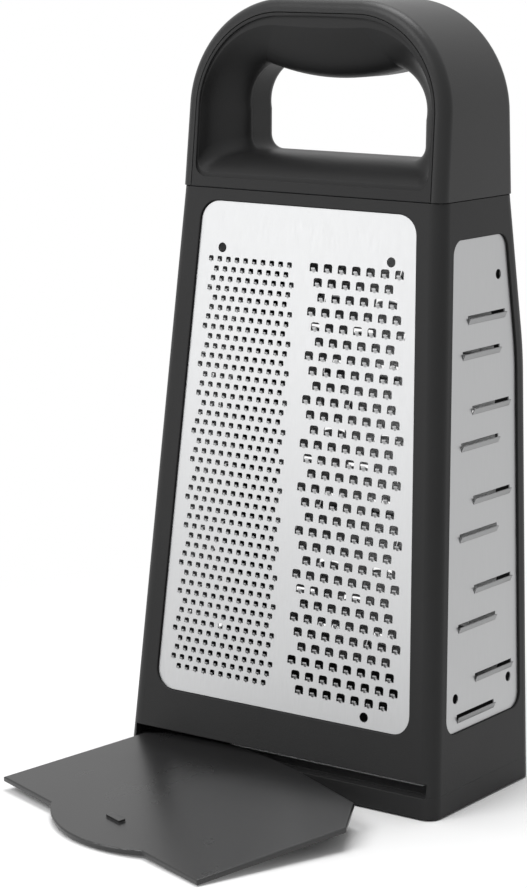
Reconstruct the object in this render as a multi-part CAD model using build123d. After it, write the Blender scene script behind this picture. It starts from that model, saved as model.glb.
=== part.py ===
"""Four-sided box grater with an arched hand grip and a loose bottom cover.

Four steel blades sit in rebates of a tapered plastic frame. The frame stands on a foot
ring with rubber pads, and carries an arched handle: an outer band with a front and a
rear grip half inside it. A flat cover closes the bottom through a slot in the front
wall; here it is drawn out, turned aside and resting on the table.

Millimetres, +Z up, X across the front face, the front face towards -Y. The origin is the
centre of the footprint, on the table.
"""
import os
from math import atan, cos, floor, radians, sin

from build123d import *

# Overrun of every cut past the face it opens, and the general fits
overrun = 1.0
fit_gap = 0.3

# Frame: a tapered box whose rear wall has one bend
base_width = 152.0
base_depth = 77.5
shoulder_height = 240.0
shoulder_width = 125.5
front_setback = 20.3
rear_bend_drop = 64.0
rear_bulge = 5.8
rear_setback = 1.7
rear_bend_radius = 120.0
corner_radius = 6.0
wall = 3.0
deck = 3.0
seam_gap = 0.35
seam_inset = 1.4

# Windows and blades: gaps at the top count down from the shoulder or the window's top
window_bottom = 31.3
window_top_gap = 5.0
side_window_top_gap = 15.0
window_margin = 11.6
side_window_margin = 9.0
window_radius = 8.5
side_window_radius = 6.5
window_ledge = 2.6
blade_recess = 0.9
blade_thickness = 0.5

# Front blade: a fine field on the left, a coarse field on the right
teeth_top_gap = 23.6
teeth_bottom_gap = 10.2
teeth_margin = 6.2
fine_row_pitch = 3.942
fine_pitch = 4.3
fine_width = 2.6
fine_height = 1.9
fine_inner = 7.2
fine_shift_shares = (0, 1 / 3, -1 / 3)
pit_depth = 0.4
pit_tip_share = 0.35
coarse_row_pitch = 5.845
coarse_pitch = 6.7
coarse_width = 4.3
coarse_height = 2.9
coarse_inner = 4.6
coarse_shift_shares = (0, 1 / 3, 2 / 3)
coarse_top_share = 0.8
pilot_radius = 2.0
pilot_side_gap = 12.0
pilot_top_gap = 19.0
pilot_bottom_gap = 4.6

# Rear blade: large curls in staggered rows
curl_top_gap = 17.0
curl_bottom_gap = 13.7
curl_row_pitch = 14.4
curl_pitch = 26.0
curl_width = 13.0
curl_height = 6.0

# Side blades: slicing slots on the right, ribbon slots on the left
slicer_top_gap = 32.0
slicer_bottom_gap = 5.0
slicer_pitch = 35.7
slicer_step = 13.6
slicer_end_gaps = 48.9
slicer_height = 3.6
slicer_margin = 18.4
slicer_rear_margin = 14.4
ribbon_top_gap = 30.0
ribbon_bottom_gap = 22.7
ribbon_pitch = 12.8
ribbon_width = 9.0
ribbon_height = 3.0
ribbon_column = 13.4
side_pilot_margin = 17.0
side_pilot_top_gap = 16.1
slicer_pilot_rise = 8.4
ribbon_pilot_drop = 9.0

# Foot ring and its pads
foot_height = 9.0
pad_stand = 0.5
rail_width = 10.0
rail_thickness = 2.4
post_radius = 6.0
pad_radius = 4.2
pad_thickness = 2.2

# Cover slot, guide rib and cover
slot_play = 2.7
slot_height = 5.3
sill_relief = 0.3
rib_height = 2.0
rib_width = 3.0
cover_inset = 7.0
cover_depth = 90.0
cover_thickness = 2.3
cover_chamfer = 17.1
cover_taper = 4.0
cover_nose = 16.0
cover_end_gap = 0.5
tab_width = 65.0
tab_length = 11.0
nub_length = 9.0
nub_width = 3.0
nub_height = 1.0
nub_inset = 9.5
edge_round = 0.6

# The cover's turn from its closed place to the table: a leaning axis far to the left
swing_x = -227.7
swing_y = -26.23
swing_lean_share = -0.306
swing_nod_share = -0.0154
swing_angle = 19.8

# Handle arch: band and grip halves, every rise counted from the shoulder
arch_rise = 76.0
arch_radius = 44.0
arch_inset = 0.55
arch_rear_setback = 3.5
band_thickness = 5.2
band_round = 4.6
grip_split = 3.6
rim = 1.4
hole_half_width = 42.3
hole_floor_rise = 14.0
hole_corner = 6.0
hole_crown_rise = 44.8
hole_shoulder_side = 32.0
hole_shoulder_rise = 49.5
hole_spring_rise = 30.0
web = 13.8
web_middle = 9.3
sill_rise = 4.2
sill_corner = 5.0

# How the dish narrows from its mouth to the web: shares of depth, side, sill and crown
dish_shares = (
    (0.0, 0.0, 0.0, 0.0),
    (0.3, 0.14, 0.6, 0.55),
    (0.6, 0.52, 0.88, 0.85),
    (0.85, 0.9, 0.98, 0.97),
    (1.0, 1.0, 1.0, 1.0),
)

# Screws
screw_radius = 1.75
screw_length = 13.0
screw_head_radius = 3.3
screw_head_height = 2.2
screw_gap = 0.2
screw_play = 0.05
grip_screw_side = 30.0
grip_screw_spacing = 16.0
boss_radius = 5.0
boss_height = 17.0

# Worked out from the sizes above
side_lean = (base_width - shoulder_width) / 2 / shoulder_height
front_lean = front_setback / shoulder_height
side_angle = atan(side_lean)
front_angle = atan(front_lean)
rear_bend_height = shoulder_height - rear_bend_drop
window_top = shoulder_height - window_top_gap
side_window_top = shoulder_height - side_window_top_gap
seat = blade_recess + blade_thickness
slicer_length = base_depth - slicer_end_gaps
cover_level = foot_height + fit_gap
cover_width = base_width - 2 * cover_inset
slot_width = cover_width + 2 * slot_play
arch_top = shoulder_height + arch_rise
arch_spring = arch_top - arch_radius
arch_width = shoulder_width - 2 * arch_inset


def side_x(height):
    """Half the outer width at a height."""
    return base_width / 2 - side_lean * height


def front_y(height):
    """Outer face of the front wall at a height."""
    return -base_depth / 2 + front_lean * height


def rear_y(height):
    """Outer face of the rear wall at a height: two straight runs."""
    low = base_depth / 2
    bend = low + rear_bulge
    if height < rear_bend_height:
        return low + rear_bulge * height / rear_bend_height
    run = shoulder_height - rear_bend_height
    return bend - (rear_bulge + rear_setback) * (height - rear_bend_height) / run


def rear_line(inset):
    """The rear wall's line in the YZ plane, moved inwards, with its rounded bend."""
    heights = (0, rear_bend_height, shoulder_height)
    points = [(rear_y(height) - inset, height) for height in heights]
    return FilletPolyline(*points, radius=rear_bend_radius - inset)


def layer(outer, inner):
    """The stretch of the frame between two copies of a wall line in the YZ plane."""
    sketch = make_face([outer, inner, Line(outer @ 0, inner @ 0), Line(outer @ 1, inner @ 1)])
    return extrude(Plane.YZ * sketch, amount=base_width, both=True)


def through(sketch):
    """An XZ outline pushed both ways along Y, past the front and the rear."""
    return extrude(Plane.XZ * sketch, amount=base_width, both=True)


def tapered_block(inset, radius):
    """The frame's outer form moved inwards, with its four upright edges rounded."""
    foot, top = (front_y(0) + inset, 0), (front_y(shoulder_height) + inset, shoulder_height)
    low, high = side_x(0) - inset, side_x(shoulder_height) - inset
    outline = Polyline(
        (-low, 0), (low, 0), (high, shoulder_height), (-high, shoulder_height), close=True
    )
    block = layer(rear_line(inset), Line(foot, top)) & through(make_face(outline))
    if radius <= 0:
        return block
    uprights = [edge for edge in block.edges() if is_upright(edge)]
    return fillet(uprights, radius)


def is_upright(edge):
    """True for an edge that runs up a corner of the frame."""
    size = edge.bounding_box().size
    return size.Z > 2 * size.X and size.Z > size.Y


def slice_between(solid, low, high):
    """The stretch of a solid between two heights."""
    slab = Box(2 * base_width, 2 * base_width, high - low)
    return solid & Pos(0, 0, (low + high) / 2) * slab


def leaning_plane(place, height, lean):
    """A plane along X through a wall line, facing out towards -Y."""
    return Plane(origin=(0, place, height), x_dir=(1, 0, 0), z_dir=(0, -cos(lean), sin(lean)))


front_plane = leaning_plane(front_y(0), 0, front_angle)
side_plane = Plane(
    origin=(side_x(0), 0, 0), x_dir=(0, 1, 0), z_dir=(cos(side_angle), 0, sin(side_angle))
)


def sunk(plane, sketch, top, bottom):
    """A sketch on a wall's plane pushed in between two depths."""
    return extrude(plane.offset(-top) * sketch, amount=top - bottom)


def rounded(sketch, radius):
    """A window outline with its two lowest and two highest corners rounded."""
    corners = sketch.vertices().sort_by(Axis.Y)
    return fillet(corners[:2] + corners[-2:], radius)


def upright_window(inset, rise):
    """Front or rear window outline; rise lengthens heights for a leaning wall."""
    bottom, top = window_bottom + inset, window_top - inset
    low = side_x(bottom) - window_margin - inset
    high = side_x(top) - window_margin - inset
    corners = [(-low, bottom * rise), (low, bottom * rise), (high, top * rise), (-high, top * rise)]
    return rounded(make_face(Polyline(*corners, close=True)), window_radius - inset)


def side_window(inset):
    """Side window outline, whose rear edge follows the bend of the rear wall."""
    rise = 1 / cos(side_angle)
    bottom, top = window_bottom + inset, side_window_top - inset
    margin = side_window_margin + inset
    heights = (bottom, rear_bend_height, top)
    points = [(rear_y(height) - margin, height * rise) for height in heights]
    rear = FilletPolyline(*points, radius=rear_bend_radius - margin)
    low = (front_y(bottom) + margin, bottom * rise)
    high = (front_y(top) + margin, top * rise)
    outline = make_face([rear, Polyline(rear @ 0, low, high, rear @ 1)])
    return rounded(outline, side_window_radius - inset)


def opening(x, y, width, height, top_share):
    """One cutting opening, narrower at its top."""
    half, tip = width / 2, width * top_share / 2
    low, high = y - height / 2, y + height / 2
    corners = [(x - half, low), (x + half, low), (x + tip, high), (x - tip, high)]
    return Wire.make_polygon(corners)


def pilot(x, y):
    """A round locating hole of a blade."""
    return (Pos(x, y) * Circle(pilot_radius)).face().outer_wire()


def pierced(outline, holes):
    """A blade outline with its openings left out."""
    return Face(outline.face().outer_wire(), holes)


def spaced(start, end, pitch):
    """Evenly spaced places from a start, as many as end before the end."""
    return [start + n * pitch for n in range(floor((end - start) / pitch) + 1)]


def tooth_field(side, row_pitch, pitch, inner, shift_shares):
    """Centres of the teeth of the fine field (side -1) or the coarse field (side 1)."""
    top, bottom = window_top - teeth_top_gap, window_bottom + teeth_bottom_gap
    places = []
    for row, drop in enumerate(spaced(0, top - bottom, row_pitch)):
        start = inner + shift_shares[row % len(shift_shares)] * pitch
        reach = side_x(top - drop) - window_margin - teeth_margin
        level = (top - drop) / cos(front_angle)
        places += [(side * place, level) for place in spaced(start, reach, pitch)]
    return places


def fine_pit(x, y):
    """A three-sided pocket, deepest under the tooth's cutting edge."""
    half, low, high = fine_width / 2, y - fine_height / 2, y + fine_height / 2
    rim_points = [(x - half, low, 0), (x + half, low, 0), (x, high, 0)]
    tip = (x, low + fine_height * pit_tip_share, -pit_depth)
    corners = [Vector(*point) for point in rim_points + [tip]]
    faces = [Face(Wire.make_polygon([corners[i] for i in sides]))
             for sides in ((0, 1, 2), (0, 1, 3), (1, 2, 3), (2, 0, 3))]
    return Solid(Shell(faces))


def front_blade():
    """The coarse field cut through, the fine field sunk, and three locating holes."""
    coarse = tooth_field(1, coarse_row_pitch, coarse_pitch, coarse_inner, coarse_shift_shares)
    fine = tooth_field(-1, fine_row_pitch, fine_pitch, fine_inner, fine_shift_shares)
    holes = [opening(x, y, coarse_width, coarse_height, coarse_top_share) for x, y in coarse]
    side = side_x(window_top) - window_margin - pilot_side_gap
    top, low = window_top - pilot_top_gap, window_bottom + pilot_bottom_gap
    holes += [pilot(-side, top), pilot(side, top), pilot(side, low)]
    outline = upright_window(fit_gap, 1 / cos(front_angle))
    blade = sunk(front_plane, pierced(outline, holes), blade_recess, seat)
    face = front_plane.offset(-blade_recess)
    return blade - [face.location * fine_pit(x, y) for x, y in fine]


def rear_blade():
    """Staggered rows of large openings in a sheet that follows the rear wall's bend."""
    holes = []
    low, top = window_bottom + curl_bottom_gap, window_top - curl_top_gap
    for row, level in enumerate(spaced(low, top, curl_row_pitch)):
        reach = side_x(level) - window_margin - curl_width
        places = spaced((row % 2) * curl_pitch / 2, reach, curl_pitch)
        for place in sorted(set(places + [-x for x in places])):
            holes.append(opening(place, level, curl_width, curl_height, coarse_top_share))
    sheet = layer(rear_line(blade_recess), rear_line(seat))
    return sheet & through(pierced(upright_window(fit_gap, 1), holes))


def side_pilots(low):
    """Locating holes of a side blade: one at the top, two at a low level."""
    rise = 1 / cos(side_angle)
    top = side_window_top - side_pilot_top_gap
    rear = [pilot(rear_y(z) - side_pilot_margin, z * rise) for z in (top, low)]
    return rear + [pilot(front_y(low) + side_pilot_margin, low * rise)]


def slicer_blade():
    """Right blade: wide slots in pairs, the lower one of each nearer the front."""
    rise = 1 / cos(side_angle)
    top, bottom = side_window_top - slicer_top_gap, window_bottom + slicer_bottom_gap
    drops = spaced(0, top - slicer_step - bottom, slicer_pitch)
    holes = side_pilots(top - drops[-1] - slicer_step + slicer_pilot_rise)
    for drop in drops:
        upper, lower = top - drop, top - drop - slicer_step
        rear = rear_y(upper) - slicer_rear_margin - slicer_length / 2
        front = front_y(lower) + slicer_margin + slicer_length / 2
        for place, level in ((rear, upper), (front, lower)):
            holes.append(opening(place, level * rise, slicer_length, slicer_height, 1))
    return sunk(side_plane, pierced(side_window(fit_gap), holes), blade_recess, seat)


def ribbon_blade():
    """Left blade: staggered short slots, drawn as the right wall's and mirrored."""
    rise = 1 / cos(side_angle)
    low, top = window_bottom + ribbon_bottom_gap, side_window_top - ribbon_top_gap
    holes = side_pilots(low - ribbon_pilot_drop)
    for row, level in enumerate(spaced(low, top, ribbon_pitch)):
        start = front_y(level) + slicer_margin + (row % 2) * ribbon_column / 2
        for place in spaced(start, rear_y(level) - slicer_margin, ribbon_column):
            holes.append(
                opening(place, level * rise, ribbon_width, ribbon_height, coarse_top_share)
            )
    sheet = sunk(side_plane, pierced(side_window(fit_gap), holes), blade_recess, seat)
    return mirror(sheet, about=Plane.YZ)


def window_cuts():
    """Rebate and opening of all four windows."""
    rise = 1 / cos(front_angle)
    deep = 2 * wall
    side = sunk(side_plane, side_window(0), -overrun, seat)
    side += sunk(side_plane, side_window(window_ledge), -overrun, deep)
    front = sunk(front_plane, upright_window(0, rise), -overrun, seat)
    front += sunk(front_plane, upright_window(window_ledge, rise), -overrun, deep)
    rear = through(upright_window(0, 1)) & layer(rear_line(-overrun), rear_line(seat))
    rear += through(upright_window(window_ledge, 1)) & layer(rear_line(-overrun), rear_line(deep))
    return [front, rear, side, mirror(side, about=Plane.YZ)]


def post_places():
    """Centres of the four corner posts of the foot ring, front pair first."""
    side = side_x(0) - wall - post_radius
    front = front_y(0) + wall + post_radius
    rear = rear_y(0) - wall - post_radius
    return [(x, y) for y in (front, rear) for x in (-side, side)]


def upright_pin(x, y, low, high, radius):
    """A round bar between two heights."""
    return Pos(x, y, (low + high) / 2) * Cylinder(radius, high - low)


def grip_screw_places():
    """Centres of the four screws that hold the two grip halves down."""
    spread = grip_screw_spacing / 2
    sides = (-grip_screw_side, grip_screw_side)
    return [(x, grip_split + y) for x in sides for y in (-spread, spread)]


def body_frame():
    """The one-piece frame: windows, deck, slot, guide rib and rear bosses."""
    top = shoulder_height - deck
    inside = tapered_block(wall, corner_radius - wall)
    frame = slice_between(tapered_block(0, corner_radius), foot_height, shoulder_height)
    frame -= slice_between(inside, 0, top)
    rib_low = foot_height + slot_height
    rib = inside - tapered_block(wall + rib_width, 0)
    frame += slice_between(rib, rib_low, rib_low + rib_height)
    for x, y in post_places()[2:]:
        frame += upright_pin(x, y, foot_height, foot_height + boss_height, boss_radius)
        frame -= upright_pin(x, y, 0, foot_height + boss_height - wall, screw_radius + screw_play)
    frame -= slice_between(tapered_block(0, 0) - tapered_block(seam_inset, 0),
                           shoulder_height - seam_gap, shoulder_height)
    for x, y in grip_screw_places():
        frame -= upright_pin(x, y, top - overrun, shoulder_height + overrun,
                             screw_radius + screw_gap)
    slot = Box(slot_width, 2 * wall + overrun, slot_height + overrun)
    slot_middle = foot_height + (slot_height - overrun) / 2
    frame -= Pos(0, front_y(foot_height) + wall / 2, slot_middle) * slot
    for cut in window_cuts():
        frame -= cut
    return frame


def foot_ring():
    """The ring under the frame: wall, inner rail for the cover, and corner posts."""
    under = foot_height - rail_thickness
    ring = slice_between(tapered_block(0, corner_radius), pad_stand, foot_height)
    ring -= slice_between(tapered_block(wall, corner_radius - wall), 0, under)
    for x, y in post_places():
        ring += upright_pin(x, y, pad_stand, foot_height, post_radius)
    ring -= slice_between(tapered_block(wall + rail_width, 0), 0, foot_height + overrun)
    relief = Box(slot_width, 2 * wall + overrun, 2 * sill_relief)
    ring -= Pos(0, front_y(foot_height) + wall / 2, foot_height) * relief
    for x, y in post_places():
        ring -= upright_pin(x, y, 0, pad_thickness, pad_radius)
    for x, y in post_places()[2:]:
        head_top = pad_thickness + screw_head_height + screw_gap
        ring -= upright_pin(x, y, 0, head_top, screw_head_radius + screw_gap)
        ring -= upright_pin(x, y, 0, foot_height + overrun, screw_radius + screw_gap)
    return ring


def foot_pad(x, y):
    """A rubber pad in its pocket under a post."""
    return upright_pin(x, y, 0, pad_thickness, pad_radius)


def screw(x, y, head_low):
    """An upright screw, head down."""
    neck = head_low + screw_head_height
    bolt = upright_pin(x, y, head_low, neck, screw_head_radius)
    return bolt + upright_pin(x, y, neck, neck + screw_length, screw_radius)


def closed_cover():
    """The cover in its closed place: tapered inner edge, finger tab and stop nub."""
    inner = rear_y(cover_level) - wall - cover_end_gap
    outer, corner = inner - cover_depth, inner - cover_taper
    half, nose = cover_width / 2, cover_nose / 2
    outline = [
        Line((tab_width / 2, outer), (half, outer)),
        Polyline((half, outer), (half, corner - cover_chamfer), (half - cover_chamfer, corner),
                 (nose, inner), (-nose, inner), (cover_chamfer - half, corner),
                 (-half, corner - cover_chamfer), (-half, outer)),
        Line((-half, outer), (-tab_width / 2, outer)),
        ThreePointArc((-tab_width / 2, outer), (0, outer - tab_length), (tab_width / 2, outer)),
    ]
    plate = extrude(Pos(0, 0, cover_level) * make_face(outline), amount=cover_thickness)
    rims = [edge for edge in plate.edges() if edge.bounding_box().size.Z < edge_round]
    plate = fillet(rims, edge_round)
    nub = Box(nub_length, nub_width, nub_height + cover_thickness)
    middle = cover_level + (nub_height + cover_thickness) / 2
    return plate + Pos(0, outer + nub_inset, middle) * nub


def drawn_cover():
    """The cover as photographed: turned back out of the slot and down to the table."""
    axis = Axis((swing_x, swing_y, 0), (swing_lean_share, swing_nod_share, 1))
    return closed_cover().rotate(axis, -swing_angle)


def arch_outline(offset):
    """The arch's outline from the shoulder up, moved inwards."""
    foot, leg = side_x(shoulder_height) - offset, arch_width / 2 - offset
    flat, radius = arch_width / 2 - arch_radius, arch_radius - offset
    slant = radius * cos(radians(45))
    bottom, top = shoulder_height, arch_top - offset
    return make_face([
        Polyline((-leg, arch_spring), (-foot, bottom), (foot, bottom), (leg, arch_spring)),
        ThreePointArc((leg, arch_spring), (flat + slant, arch_spring + slant), (flat, top)),
        Line((flat, top), (-flat, top)),
        ThreePointArc((-flat, top), (-flat - slant, arch_spring + slant), (-leg, arch_spring)),
    ])


def arch_block(offset):
    """The arch's solid between its leaning front and rear faces."""
    front = Line((front_y(shoulder_height), shoulder_height), (front_y(arch_top), arch_top))
    low = rear_y(shoulder_height)
    rear = Line((low, shoulder_height), (low - arch_rear_setback, arch_top))
    return layer(rear, front) & through(arch_outline(offset))


def handle_band():
    """The outer band, rounded along its front and rear outlines."""
    block = arch_block(0)
    edges = [edge for edge in block.edges() if edge.center().Z > shoulder_height + overrun
             and edge.bounding_box().size.Y < edge.length / 2]
    return fillet(edges, band_round) - through(arch_outline(band_thickness))


def mix(start, end, share):
    """A size part of the way from one to another."""
    return start + (end - start) * share


def hand_outline(side_share, sill_share, crown_share):
    """The hand opening's outline above the shoulder, from the rim (0) to the hole (1)."""
    half = mix(arch_width / 2 - band_thickness - rim, hole_half_width, side_share)
    low = mix(sill_rise, hole_floor_rise, sill_share)
    corner = mix(sill_corner, hole_corner, sill_share)
    spring = mix(arch_rise - arch_radius, hole_spring_rise, crown_share)
    rim_top = arch_rise - band_thickness - rim
    side = mix(arch_width / 2 - arch_radius, hole_shoulder_side, crown_share)
    shoulder = mix(rim_top, hole_shoulder_rise, crown_share)
    crown = mix(rim_top + fit_gap, hole_crown_rise, crown_share)
    slant = cos(radians(45))
    knee_x, knee_z = side + (half - side) * slant, spring + (shoulder - spring) * slant
    turn = corner * (1 - slant)
    return make_face([
        Line((corner - half, low), (half - corner, low)),
        ThreePointArc((half - corner, low), (half - turn, low + turn), (half, low + corner)),
        Line((half, low + corner), (half, spring)),
        ThreePointArc((half, spring), (knee_x, knee_z), (side, shoulder)),
        ThreePointArc((side, shoulder), (0, crown), (-side, shoulder)),
        ThreePointArc((-side, shoulder), (-knee_x, knee_z), (-half, spring)),
        Line((-half, spring), (-half, low + corner)),
        ThreePointArc((-half, low + corner), (turn - half, low + turn), (corner - half, low)),
    ])


def dish(face_place, lean, web_place):
    """The hollow that narrows from a face of the handle to the web round the hole."""
    sections = []
    for depth_share, side_share, sill_share, crown_share in dish_shares:
        place = mix(face_place, web_place, depth_share)
        plane = leaning_plane(place, shoulder_height, lean * (1 - depth_share))
        sections.append(plane * hand_outline(side_share, sill_share, crown_share))
    mouth = extrude(sections[0], amount=overrun, both=True)
    return loft(sections) + mouth


def grip_core():
    """Both grip halves as one: the arch's filling with the hand hole and its dishes."""
    core = arch_block(band_thickness + fit_gap)
    hole = Plane.XZ * Pos(0, shoulder_height) * hand_outline(1, 1, 1)
    core -= extrude(hole, amount=base_width, both=True)
    rear_angle = -atan(arch_rear_setback / (arch_top - shoulder_height))
    core -= dish(front_y(shoulder_height), front_angle, web_middle - web / 2)
    core -= dish(rear_y(shoulder_height), rear_angle, web_middle + web / 2)
    for x, y in grip_screw_places():
        tip = shoulder_height - deck + screw_length + screw_play
        core -= upright_pin(x, y, shoulder_height - overrun, tip, screw_radius + screw_play)
    return core


def grip_halves():
    """Front and rear halves, parted on an upright plane."""
    core = grip_core()
    front_space = Pos(0, grip_split - base_width, arch_top / 2) * Box(
        2 * base_width, 2 * base_width, arch_top + 2 * overrun
    )
    return core & front_space, core - front_space


def all_nodes():
    """Every sub-part under its own name."""
    front_grip, rear_grip = grip_halves()
    nodes = {
        "body_frame": body_frame(),
        "foot_ring": foot_ring(),
        "front_blade": front_blade(),
        "rear_blade": rear_blade(),
        "slicer_blade": slicer_blade(),
        "ribbon_blade": ribbon_blade(),
        "bottom_cover": drawn_cover(),
        "handle_band": handle_band(),
        "front_grip": front_grip,
        "rear_grip": rear_grip,
    }
    for number, (x, y) in enumerate(post_places(), start=1):
        nodes[f"foot_pad_{number}"] = foot_pad(x, y)
    low = shoulder_height - deck - screw_head_height
    nodes["handle_screws"] = Compound(children=[screw(x, y, low) for x, y in grip_screw_places()])
    nodes["foot_screws"] = Compound(
        children=[screw(x, y, pad_thickness) for x, y in post_places()[2:]]
    )
    return nodes


def main():
    os.makedirs("parts", exist_ok=True)
    for name, solid in all_nodes().items():
        export_step(solid, f"parts/{name}.step")


if __name__ == "__main__":
    main()
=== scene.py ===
# %% [markdown]
# # A four-sided box grater
# The imported model gives every rigid piece at its real size, in metres. This script dresses it:
# it sets the camera and the light, gives each piece a finish, and forms the teeth of the blades,
# which are too small and too many for the construction model.

# %% Load the frame
import math

import bmesh
import bpy
from mathutils import Matrix, Vector


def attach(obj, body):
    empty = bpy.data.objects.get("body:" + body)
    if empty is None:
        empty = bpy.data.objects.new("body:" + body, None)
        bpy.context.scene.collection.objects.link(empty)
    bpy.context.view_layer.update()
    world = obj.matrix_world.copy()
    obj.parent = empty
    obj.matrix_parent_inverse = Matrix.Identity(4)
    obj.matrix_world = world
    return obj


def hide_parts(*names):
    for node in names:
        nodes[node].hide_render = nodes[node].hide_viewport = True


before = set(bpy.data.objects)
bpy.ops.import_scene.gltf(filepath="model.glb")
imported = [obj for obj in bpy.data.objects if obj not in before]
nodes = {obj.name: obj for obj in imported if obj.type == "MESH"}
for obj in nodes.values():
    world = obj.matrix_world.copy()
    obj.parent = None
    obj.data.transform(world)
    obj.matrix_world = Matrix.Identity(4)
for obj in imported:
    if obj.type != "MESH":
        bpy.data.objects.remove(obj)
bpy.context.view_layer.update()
MM = 0.001
print("nodes", sorted(nodes))

# %% [markdown]
# ## The camera
# A product camera stands well back with a long lens, so that upright edges stay nearly upright.
# Its place and turn are written as a position, a compass angle, a tilt down and a small roll,
# because those four are easy to read and to change. The long side of the picture is upright, so
# the sensor is fitted to that side.

# %% Place the camera
camera_place = (0.60233, -0.90221, 0.34381)
turn, tilt, roll = math.radians(35.17), math.radians(10.84), math.radians(0.36)
camera_data = bpy.data.cameras.new("camera")
camera_data.sensor_fit = "VERTICAL"
camera_data.sensor_height = 36.0
camera_data.lens = 109.5
camera_data.clip_start = 0.01
camera = bpy.data.objects.new("camera", camera_data)
camera_turn = (
    Matrix.Rotation(turn, 4, "Z")
    @ Matrix.Rotation(math.radians(90) - tilt, 4, "X")
    @ Matrix.Rotation(roll, 4, "Z")
)
camera.matrix_world = Matrix.Translation(camera_place) @ camera_turn
bpy.context.scene.collection.objects.link(camera)
bpy.context.scene.camera = camera
print("camera looks along", [round(c, 3) for c in camera_turn @ Vector((0, 0, -1))])

# %% [markdown]
# ## The floor and the light
# The object stands on a pale table in a white room. Close to the object the table is plainly lit,
# so that it keeps the soft shadow and stays dark inside the hollow body. Farther out it fades to
# an even white, and no horizon shows. That is what the camera and every reflection sees. To the
# light that bounces around, table and room are a mid grey, because black plastic looks black only
# where little light is thrown at it from below.

# %% Helper: one where a surface or the room is looked at, directly or in a reflection
def looked_at(tree):
    path = tree.nodes.new("ShaderNodeLightPath")
    seen = path.outputs["Is Camera Ray"]
    for ray in ("Is Glossy Ray", "Is Transmission Ray"):
        either = tree.nodes.new("ShaderNodeMath")
        either.operation = "MAXIMUM"
        tree.links.new(seen, either.inputs[0])
        tree.links.new(path.outputs[ray], either.inputs[1])
        seen = either.outputs[0]
    return seen


# %% Helper: a material with its shader
def new_material(name, colour, roughness, metallic=0.0):
    material = bpy.data.materials.new(name)
    material.use_nodes = True
    shader = material.node_tree.nodes["Principled BSDF"]
    shader.inputs["Base Color"].default_value = (*colour, 1.0)
    shader.inputs["Roughness"].default_value = roughness
    shader.inputs["Metallic"].default_value = metallic
    material.diffuse_color = (*colour, 1.0)
    return material, material.node_tree, shader


# %% Lay the table just under the feet
table_half, table_drop = 6.0, 0.0002
table_mesh = bpy.data.meshes.new("table_top")
bm = bmesh.new()
bmesh.ops.create_grid(bm, x_segments=1, y_segments=1, size=table_half)
bmesh.ops.translate(bm, vec=(0, 0, -table_drop), verts=bm.verts)
bm.to_mesh(table_mesh)
bm.free()
table_top = bpy.data.objects.new("table_top", table_mesh)
bpy.context.scene.collection.objects.link(table_top)
print("table lies", table_drop, "m under the feet")

# %% Give the table its two shades: grey to bounced light, pale to the eye
table_grey, table_pale = (0.5, 0.5, 0.5), (0.96, 0.96, 0.96)
pale, tree, shader = new_material("pale_table", table_grey, roughness=0.8)
shader.inputs["Specular IOR Level"].default_value = 0.1
seen = looked_at(tree)
shade = tree.nodes.new("ShaderNodeMix")
shade.data_type = "RGBA"
shade.inputs["A"].default_value = (*table_grey, 1.0)
shade.inputs["B"].default_value = (*table_pale, 1.0)
tree.links.new(seen, shade.inputs["Factor"])
tree.links.new(shade.outputs["Result"], shader.inputs["Base Color"])
print("table shades", table_grey[0], "and", table_pale[0])

# %% Fade the table to white away from the object
fade_start, fade_end = 0.086, 0.36
place = tree.nodes.new("ShaderNodeTexCoord")
reach = tree.nodes.new("ShaderNodeVectorMath")
reach.operation = "LENGTH"
fade = tree.nodes.new("ShaderNodeMapRange")
fade.interpolation_type = "SMOOTHSTEP"
fade.inputs["From Min"].default_value = fade_start
fade.inputs["From Max"].default_value = fade_end
glow = tree.nodes.new("ShaderNodeEmission")
lift = tree.nodes.new("ShaderNodeMath")
lift.operation = "MULTIPLY"
blend = tree.nodes.new("ShaderNodeMixShader")
tree.links.new(place.outputs["Object"], reach.inputs[0])
tree.links.new(reach.outputs["Value"], fade.inputs["Value"])
tree.links.new(seen, lift.inputs[0])
tree.links.new(fade.outputs["Result"], lift.inputs[1])
tree.links.new(lift.outputs[0], blend.inputs["Fac"])
tree.links.new(shader.outputs["BSDF"], blend.inputs[1])
tree.links.new(glow.outputs["Emission"], blend.inputs[2])
tree.links.new(blend.outputs["Shader"], tree.nodes["Material Output"].inputs["Surface"])
table_mesh.materials.append(pale)
print("table fades from", fade_start, "to", fade_end, "m")

# %% Make the room: white to the eye, dimmer as a light
room_light, room_white = 0.42, 1.0
world = bpy.data.worlds.new("white_room")
bpy.context.scene.world = world
world.use_nodes = True
tree = world.node_tree
background = tree.nodes["Background"]
background.inputs["Color"].default_value = (1.0, 1.0, 1.0, 1.0)
strength = tree.nodes.new("ShaderNodeMapRange")
strength.inputs["To Min"].default_value = room_light
strength.inputs["To Max"].default_value = room_white
tree.links.new(looked_at(tree), strength.inputs["Value"])
tree.links.new(strength.outputs["Result"], background.inputs["Strength"])
print("room gives", room_light, "and looks", room_white)


# %% Helper: one soft lamp aimed at the middle of the object
def soft_lamp(name, place, power, size, aim=(0.0, 0.0, 0.15)):
    lamp_data = bpy.data.lights.new(name, "AREA")
    lamp_data.energy = power
    lamp_data.shape = "DISK"
    lamp_data.size = size
    lamp = bpy.data.objects.new(name, lamp_data)
    direction = Vector(aim) - Vector(place)
    facing = direction.to_track_quat("-Z", "Y").to_matrix().to_4x4()
    lamp.matrix_world = Matrix.Translation(place) @ facing
    bpy.context.scene.collection.objects.link(lamp)


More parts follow.
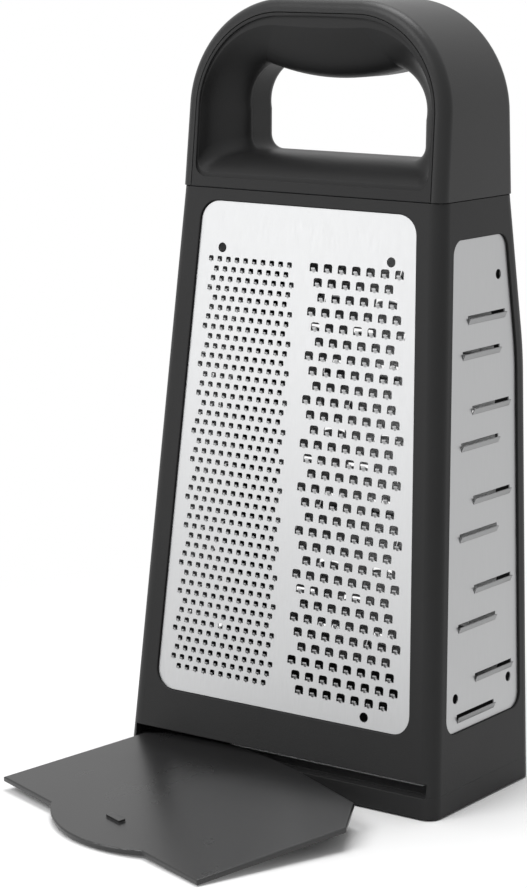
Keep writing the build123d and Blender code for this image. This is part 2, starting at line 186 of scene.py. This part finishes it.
# %% Place the lamps
soft_lamp("front_lamp", (-0.85, -1.3, 0.24), power=3.2, size=0.85)
soft_lamp("high_lamp", (-0.3, -0.95, 1.15), power=8.0, size=0.8)
soft_lamp("top_lamp", (-0.1, 0.2, 1.5), power=14.0, size=0.9)
view = bpy.context.scene.view_settings
view.view_transform = "Standard"

# %% [markdown]
# ## Moulded plastic
# The frame, the grips, the band and the cover are black plastic with a fine spark-eroded grain.
# The grain is far finer than any mesh could hold, so it is a noise read as bump, with a second,
# broader noise that varies the sheen as handled plastic does. A bevel node turns the normal near
# sharp edges, which gives the thin bright line that every moulded edge has. The cover is smoother
# and shinier than the rest, so its grain is shallower.

# %% Helper: grained plastic, with the scale and depth of its grain and the radius of its edges
patch_scale, sheen_swing, grain_height = 26.0, 0.06, 0.0002
dark_end, light_end = 0.3, 0.7
dark_share, light_share = 0.9, 1.12


def grained_plastic(name, colour, roughness, grain, edge, shine=0.3, depth=0.25):
    material, tree, shader = new_material(name, colour, roughness)
    shader.inputs["Specular IOR Level"].default_value = shine
    place = tree.nodes.new("ShaderNodeTexCoord")
    fine = tree.nodes.new("ShaderNodeTexNoise")
    fine.inputs["Scale"].default_value = grain
    fine.inputs["Detail"].default_value = 3.0
    broad = tree.nodes.new("ShaderNodeTexNoise")
    broad.inputs["Scale"].default_value = patch_scale
    broad.inputs["Detail"].default_value = 4.0
    sheen = tree.nodes.new("ShaderNodeMapRange")
    sheen.inputs["To Min"].default_value = roughness - sheen_swing
    sheen.inputs["To Max"].default_value = roughness + sheen_swing
    tint = tree.nodes.new("ShaderNodeValToRGB")
    tint.color_ramp.elements[0].position = dark_end
    tint.color_ramp.elements[1].position = light_end
    tint.color_ramp.elements[0].color = (*[c * dark_share for c in colour], 1.0)
    tint.color_ramp.elements[1].color = (*[c * light_share for c in colour], 1.0)
    soften = tree.nodes.new("ShaderNodeBevel")
    soften.samples = 4
    soften.inputs["Radius"].default_value = edge
    bump = tree.nodes.new("ShaderNodeBump")
    bump.inputs["Strength"].default_value = depth
    bump.inputs["Distance"].default_value = grain_height
    tree.links.new(place.outputs["Object"], fine.inputs["Vector"])
    tree.links.new(place.outputs["Object"], broad.inputs["Vector"])
    tree.links.new(broad.outputs["Fac"], sheen.inputs["Value"])
    tree.links.new(broad.outputs["Fac"], tint.inputs["Fac"])
    tree.links.new(tint.outputs["Color"], shader.inputs["Base Color"])
    tree.links.new(sheen.outputs["Result"], shader.inputs["Roughness"])
    tree.links.new(fine.outputs["Fac"], bump.inputs["Height"])
    tree.links.new(soften.outputs["Normal"], bump.inputs["Normal"])
    tree.links.new(bump.outputs["Normal"], shader.inputs["Normal"])
    return material


# %% Make the plastics
frame_plastic = grained_plastic(
    "frame_plastic", (0.021, 0.021, 0.0213), roughness=0.46, grain=1600.0, edge=0.0005, shine=0.2
)
grip_plastic = grained_plastic(
    "grip_plastic", (0.019, 0.019, 0.0193), roughness=0.44, grain=1600.0, edge=0.0005, shine=0.2
)
band_plastic = grained_plastic(
    "band_plastic", (0.018, 0.018, 0.0183), roughness=0.40, grain=2000.0, edge=0.0004, shine=0.28
)
cover_plastic = grained_plastic(
    "cover_plastic", (0.008, 0.008, 0.0082), roughness=0.29, grain=1400.0, edge=0.0004, shine=0.6,
    depth=0.15,
)
print("plastics ready")

# %% [markdown]
# ## Sheet steel, screws and rubber
# Blade steel is rolled, so it has very fine upright lines and a satin shine. Noise that is squeezed
# in the two level directions gives such lines. The raised lips are the same steel, made shinier,
# with a darker colour that is painted shade: at their tilt they mirror dimmer surroundings. The
# plain steel of the screws and the rubber of the pads are quieter, and only need a little grain.

# %% Helper: rolled steel
line_scale, line_strength, line_height = 60.0, 0.06, 0.0001
smoother, rougher = 0.07, 0.09
dark_line_share, light_line_share = 0.93, 1.06


def rolled_steel(name, colour, roughness, squeeze):
    material, tree, shader = new_material(name, colour, roughness, metallic=1.0)
    place = tree.nodes.new("ShaderNodeTexCoord")
    stretch = tree.nodes.new("ShaderNodeMapping")
    stretch.inputs["Scale"].default_value = squeeze
    lines = tree.nodes.new("ShaderNodeTexNoise")
    lines.inputs["Scale"].default_value = line_scale
    lines.inputs["Detail"].default_value = 6.0
    shine = tree.nodes.new("ShaderNodeMapRange")
    shine.inputs["To Min"].default_value = roughness - smoother
    shine.inputs["To Max"].default_value = roughness + rougher
    tint = tree.nodes.new("ShaderNodeValToRGB")
    tint.color_ramp.elements[0].color = (*[c * dark_line_share for c in colour], 1.0)
    tint.color_ramp.elements[1].color = (*[c * light_line_share for c in colour], 1.0)
    bump = tree.nodes.new("ShaderNodeBump")
    bump.inputs["Strength"].default_value = line_strength
    bump.inputs["Distance"].default_value = line_height
    tree.links.new(place.outputs["Object"], stretch.inputs["Vector"])
    tree.links.new(stretch.outputs["Vector"], lines.inputs["Vector"])
    tree.links.new(lines.outputs["Fac"], shine.inputs["Value"])
    tree.links.new(lines.outputs["Fac"], tint.inputs["Fac"])
    tree.links.new(lines.outputs["Fac"], bump.inputs["Height"])
    tree.links.new(shine.outputs["Result"], shader.inputs["Roughness"])
    tree.links.new(tint.outputs["Color"], shader.inputs["Base Color"])
    tree.links.new(bump.outputs["Normal"], shader.inputs["Normal"])
    return material


# %% Make the steels and the rubber
upright_lines, even_grain = (30.0, 30.0, 1.0), (6.0, 6.0, 6.0)
blade_steel = rolled_steel("blade_steel", (0.46, 0.463, 0.467), 0.36, squeeze=upright_lines)
# The lips' steel is the blade steel painted darker as painted shade, and a little less rough
lip_steel_painted_shade = rolled_steel("lip_steel_painted_shade", (0.30, 0.302, 0.305), 0.30, squeeze=upright_lines)
screw_steel = rolled_steel("screw_steel", (0.55, 0.55, 0.56), 0.35, squeeze=even_grain)
pad_rubber = grained_plastic(
    "pad_rubber", (0.020, 0.020, 0.021), roughness=0.85, grain=900.0, edge=0.0003
)
print("steels and rubber ready")


# %% Helper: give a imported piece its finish
def finish(names, material):
    for name in names:
        slots = nodes[name].material_slots
        for slot in slots:
            slot.material = material
        if not slots:
            nodes[name].data.materials.append(material)


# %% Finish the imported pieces
finish(["body_frame", "foot_ring"], frame_plastic)
finish(["front_grip", "rear_grip"], grip_plastic)
finish(["handle_band"], band_plastic)
finish(["bottom_cover"], cover_plastic)
finish(["front_blade", "rear_blade", "slicer_blade", "ribbon_blade"], blade_steel)
finish(["handle_screws", "foot_screws"], screw_steel)
finish([f"foot_pad_{n}" for n in range(1, 5)], pad_rubber)
print("finished", len(nodes), "packed pieces")

# %% [markdown]
# ## One tooth
# A grating tooth is a small tongue of steel, cut free on three sides with an arched slit and
# pushed outwards, so that its upper edge cuts. It starts as a square face. The two upper corners
# are bevelled into an arch, and the lower edge is divided. The face itself is deleted, which leaves
# the outline of the hole. The middle of the lower edge is then extruded upwards and outwards in two
# steps, each a little narrower, and makes the tongue.

# %% Helper: the outline and tongue of one tooth, in its own plane
arch_share, side_fall_share = 0.22, 0.3
root_shares = (-0.5, -0.2, 0.2, 0.5)
climb_lift_narrow_shares = ((0.7, 0.75, 0.94), (0.3, 0.25, 0.74))


def tooth(bm, width, height, tongue_width, tongue_height, rise):
    made = bmesh.ops.create_grid(bm, x_segments=1, y_segments=1, size=0.5)["verts"]
    bmesh.ops.scale(bm, vec=(width, height, 1), verts=made)
    upper = [v for v in made if v.co.y > 0]
    bmesh.ops.bevel(bm, geom=upper, offset=width * arch_share, segments=2, profile=0.5,
                    affect="VERTICES", material=-1)
    lower = [e for e in bm.edges if all(v.co.y < 0 for v in e.verts)]
    cut = bmesh.ops.subdivide_edges(bm, edges=lower, cuts=len(root_shares))["geom_inner"]
    inner = sorted([v for v in cut if isinstance(v, bmesh.types.BMVert)], key=lambda v: v.co.x)
    for vert, share in zip(inner, root_shares):
        vert.co.x = share * tongue_width
    bmesh.ops.delete(bm, geom=bm.faces[:], context="FACES_ONLY")
    edges = [e for e in bm.edges if all(v in inner for v in e.verts)]
    for climb, lift, narrow in climb_lift_narrow_shares:
        step = bmesh.ops.extrude_edge_only(bm, edges=edges)["geom"]
        tip = [v for v in step if isinstance(v, bmesh.types.BMVert)]
        fresh = [e for e in step if isinstance(e, bmesh.types.BMEdge)]
        edges = [e for e in fresh if all(v in tip for v in e.verts)]
        bmesh.ops.translate(bm, vec=(0, climb * tongue_height, lift * rise), verts=tip)
        for v in tip:
            v.co.x *= narrow
            v.co.z *= 1.0 - side_fall_share * (2 * v.co.x / tongue_width) ** 2


# %% [markdown]
# ## The front blade
# The sheet leans back with the wall. It is drawn flat, with the fine field on the left and the
# coarse field on the right, then stood up at the wall's angle. Each field copies its one tooth to
# every place. The ground between all the outlines is filled with triangles, which leaves the holes
# open and joins every tongue to the sheet, and a solidify modifier gives it the thickness of the
# real steel.

# %% Sizes of the front wall in millimetres, as in the construction model
base_width, base_depth = 152.0, 77.5
shoulder_height, shoulder_width, front_setback = 240, 125.5, 20.3
window_low, window_high, margin = 31.6, 234.7, 11.9
foot_half, half_depth = base_width / 2, base_depth / 2
half_loss = (base_width - shoulder_width) / 2 / shoulder_height
front_slope = front_setback / shoulder_height
lean = math.atan(front_slope)
stretch_up = 1 / math.cos(lean)


def half_width(level):
    return foot_half - half_loss * level - margin


print("blade is", round(2 * half_width(window_low), 1), "mm wide at its foot")


# %% Helper: the places of one field's teeth
field_high, field_low, field_side = 211.4, 41.9, 6.0


def field_places(rows, pitch, inner, shift_shares):
    places = []
    step = (field_high - field_low) / (rows - 1)
    for row in range(rows):
        level = field_high - row * step
        x = inner + shift_shares[row % len(shift_shares)] * pitch
        while x < half_width(level) - field_side:
            places.append((x, level * stretch_up))
            x += pitch
    return places


# %% Helper: copy one tooth to many places
def teeth_at(bm, places, side, sizes):
    single = bmesh.new()
    tooth(single, **sizes)
    template = bpy.data.meshes.new("one_tooth")
    single.to_mesh(template)
    single.free()
    for x, y in places:
        before = set(bm.verts)
        bm.from_mesh(template)
        fresh = [v for v in bm.verts if v not in before]
        bmesh.ops.translate(bm, vec=(side * x, y, 0), verts=fresh)
    bpy.data.meshes.remove(template)


# %% Find the places of both fields' teeth
fine_places = field_places(rows=44, pitch=4.3, inner=7.2, shift_shares=(0, 1 / 3, -1 / 3))
coarse_places = field_places(rows=30, pitch=6.7, inner=4.6, shift_shares=(0, 1 / 3, 2 / 3))
print("fine teeth", len(fine_places), "coarse teeth", len(coarse_places))


# %% Helper: the sheet's outline, a tapered window with round corners
corner_radius = 8.2


def sheet_outline(bm):
    made = bmesh.ops.create_grid(bm, x_segments=1, y_segments=1, size=1.0)["verts"]
    for v in made:
        level = window_high if v.co.y > 0 else window_low
        v.co.x *= half_width(level)
        v.co.y = level * stretch_up
    bmesh.ops.bevel(bm, geom=made, offset=corner_radius, segments=8, profile=0.5,
                    affect="VERTICES", offset_type="OFFSET", material=-1)
    bmesh.ops.delete(bm, geom=bm.faces[:], context="FACES_ONLY")


# %% Helper: round locating holes
def locating_holes(bm, places, radius):
    for x, level in places:
        bmesh.ops.create_circle(bm, cap_ends=False, segments=20, radius=radius,
                                matrix=Matrix.Translation((x, level * stretch_up, 0)))


# %% Draw the sheet flat, with its holes and teeth
hole_side, hole_high, hole_low, hole_radius = 40.6, 216, 35.9, 2.0
fine_tooth = dict(width=2.3, height=2.1, tongue_width=1.0, tongue_height=0.95, rise=0.18)
coarse_tooth = dict(width=4.0, height=3.4, tongue_width=2.0, tongue_height=1.6, rise=0.28)
hole_places = [(-hole_side, hole_high), (hole_side, hole_high), (hole_side, hole_low)]
bm = bmesh.new()
sheet_outline(bm)
locating_holes(bm, hole_places, hole_radius)
teeth_at(bm, fine_places, side=-1, sizes=fine_tooth)
teeth_at(bm, coarse_places, side=1, sizes=coarse_tooth)
print("outlines and tongues have", len(bm.verts), "points")

# %% Fill the sheet
flat_enough = 1e-6
rims = [e for e in bm.edges if all(abs(v.co.z) < flat_enough for v in e.verts)]
bmesh.ops.triangle_fill(bm, edges=rims, use_beauty=True, normal=(0, 0, 1))
print("sheet has", len(bm.faces), "faces")

# %% Stand the sheet up in its window
recess = 0.9
front_wall = Matrix((
    (1, 0, 0, 0),
    (0, math.sin(lean), -math.cos(lean), -half_depth),
    (0, math.cos(lean), math.sin(lean), 0),
    (0, 0, 0, 1),
))
stand = Matrix.Scale(MM, 4) @ front_wall @ Matrix.Translation((0, 0, -recess))
bmesh.ops.transform(bm, matrix=stand, verts=bm.verts)
print("sheet leans back", round(math.degrees(lean), 2), "degrees")


# %% Helper: make a finished piece from a bmesh
def make_piece(name, bm, material, thickness, body="grater"):
    mesh = bpy.data.meshes.new(name)
    bm.to_mesh(mesh)
    bm.free()
    mesh.materials.append(material)
    piece = bpy.data.objects.new(name, mesh)
    bpy.context.scene.collection.objects.link(piece)
    wall = piece.modifiers.new("sheet", "SOLIDIFY")
    wall.thickness = thickness
    wall.offset = -1.0
    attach(piece, body)
    print(name, len(mesh.polygons), "faces")
    return piece


# %% Make the front blade
sheet_thickness, lip_thickness = 0.5 * MM, 0.4 * MM
punched_front = make_piece("punched_front", bm, blade_steel, sheet_thickness)
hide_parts("front_blade")

# %% [markdown]
# ## The other three blades
# The construction model already has these sheets with their openings. What it leaves out is the
# raised lip below each opening, which does the cutting. A lip is a small grid whose rows climb
# the wall and lift outwards. A slicing lip is a straight ramp. The smaller lips curl outwards, most
# in the middle, and their tips are rounded. The lowest row lies on the sheet, so a lip looks drawn
# up out of the steel.

# %% Helper: one lip, rooted on the line y = 0 of its wall, with no or some rounding of its tip
def lip(bm, where, width, climb, lift, round_off, columns):
    made = bmesh.ops.create_grid(bm, x_segments=columns, y_segments=3, size=0.5)["verts"]
    for v in made:
        side, up = 2 * v.co.x, v.co.y + 0.5
        tip = 1 - round_off * side * side
        curl = math.sin(up * math.pi / 2) if round_off else up
        narrow = 1 - round_off / 2 * up * up
        v.co = (v.co.x * width * narrow, climb * up * tip, lift * curl * tip)
    bmesh.ops.transform(bm, matrix=Matrix.Scale(MM, 4) @ where, verts=made)


# %% Helper: a wall's own axes as a matrix
def wall_axes(right, up, out, origin):
    axes = Matrix((right, up, out)).transposed().to_4x4()
    axes.translation = origin
    return axes


# %% Where the front and rear walls are; the rear wall bends inwards, as in the construction model
rear_bulge, rear_setback, rear_bend_drop = 5.8, 1.7, 64
bend_softening, bend_reach = 0.336, 9
bend_level, bend_depth = shoulder_height - rear_bend_drop, half_depth + rear_bulge
lower_slope, upper_slope = rear_bulge / bend_level, (rear_bulge + rear_setback) / rear_bend_drop


def front_edge(level):
    return -half_depth + front_slope * level


def rear_edge(level):
    if level < bend_level:
        edge = half_depth + lower_slope * level
    else:
        edge = bend_depth - upper_slope * (level - bend_level)
    return edge - bend_softening * max(0.0, 1 - abs(level - bend_level) / bend_reach) ** 2


print("body is", round(rear_edge(bend_level) - front_edge(bend_level), 1), "mm deep at the bend")

# %% How the side walls lean in
side_lean = math.atan(half_loss)
slope_up, slope_out = math.cos(side_lean), math.sin(side_lean)
print("side walls lean in", round(math.degrees(side_lean), 2), "degrees")

# %% Make the slicing lips of the right wall, in pairs from the top
slicing_pairs, slicing_high, slicing_pitch, slicing_step = 5, 193.0, 35.7, 13.6
slicing_rear, slicing_front, slicing_drop = 28.7, 32.7, 1.8
slicing_lip = dict(width=28.4, climb=2.2, lift=1.15, round_off=0, columns=1)
bm = bmesh.new()
for pair in range(slicing_pairs):
    upper = slicing_high - slicing_pitch * pair
    lower = upper - slicing_step
    rear_middle, front_middle = rear_edge(upper) - slicing_rear, front_edge(lower) + slicing_front
    for level, middle in ((upper, rear_middle), (lower, front_middle)):
        root = level - slicing_drop * slope_up
        origin = (foot_half - half_loss * root - recess, middle, root)
        where = wall_axes((0, 1, 0), (-slope_out, 0, slope_up), (slope_up, 0, slope_out), origin)
        lip(bm, where, **slicing_lip)
make_piece("slicing_lips", bm, lip_steel_painted_shade, lip_thickness)

# %% Make the ribbon lips of the left wall, in staggered rows from the foot
ribbon_rows, ribbon_low, ribbon_pitch, ribbon_column = 12, 54.0, 12.8, 13.4
ribbon_margin, ribbon_drop = 18.4, 1.5
ribbon_lip = dict(width=8.6, climb=2.6, lift=1.1, round_off=0.15, columns=8)
bm = bmesh.new()
for row in range(ribbon_rows):
    level = ribbon_low + ribbon_pitch * row
    start = front_edge(level) + ribbon_margin + (row % 2) * ribbon_column / 2
    count = math.floor((rear_edge(level) - ribbon_margin - start) / ribbon_column) + 1
    root = level - ribbon_drop * slope_up
    for column in range(count):
        origin = (-foot_half + half_loss * root + recess, start + ribbon_column * column, root)
        where = wall_axes((0, -1, 0), (slope_out, 0, slope_up), (-slope_up, 0, slope_out), origin)
        lip(bm, where, **ribbon_lip)
ribbon_lips = make_piece("ribbon_lips", bm, lip_steel_painted_shade, lip_thickness)

# %% Make the large curls of the rear wall, in staggered rows from the foot
curl_rows, curl_low, curl_row_pitch, curl_pitch = 13, 45.0, 14.4, 26.0
blade_play, curl_margin, curl_drop = 0.3, 13.0, 3.0
curl_lip = dict(width=12.2, climb=4.8, lift=0.85, round_off=0.2, columns=10)
bm = bmesh.new()
for row in range(curl_rows):
    level = curl_low + curl_row_pitch * row
    start = (row % 2) * curl_pitch / 2
    count = math.floor((half_width(level) + blade_play - curl_margin - start) / curl_pitch)
    right_side = [start + curl_pitch * n for n in range(count + 1)]
    root = level - curl_drop
    for x in sorted(set(right_side + [-x for x in right_side])):
        origin = (x, rear_edge(root) - recess, root)
        lip(bm, wall_axes((-1, 0, 0), (0, 0, 1), (0, 1, 0), origin), **curl_lip)
large_curls = make_piece("large_curls", bm, lip_steel_painted_shade, lip_thickness)

# %% Smooth the curled lips
for piece in (ribbon_lips, large_curls):
    piece.data.shade_smooth()
print("smoothed", ribbon_lips.name, "and", large_curls.name)

# %% [markdown]
# ## Finish

# %% Finish
print("dressing done")
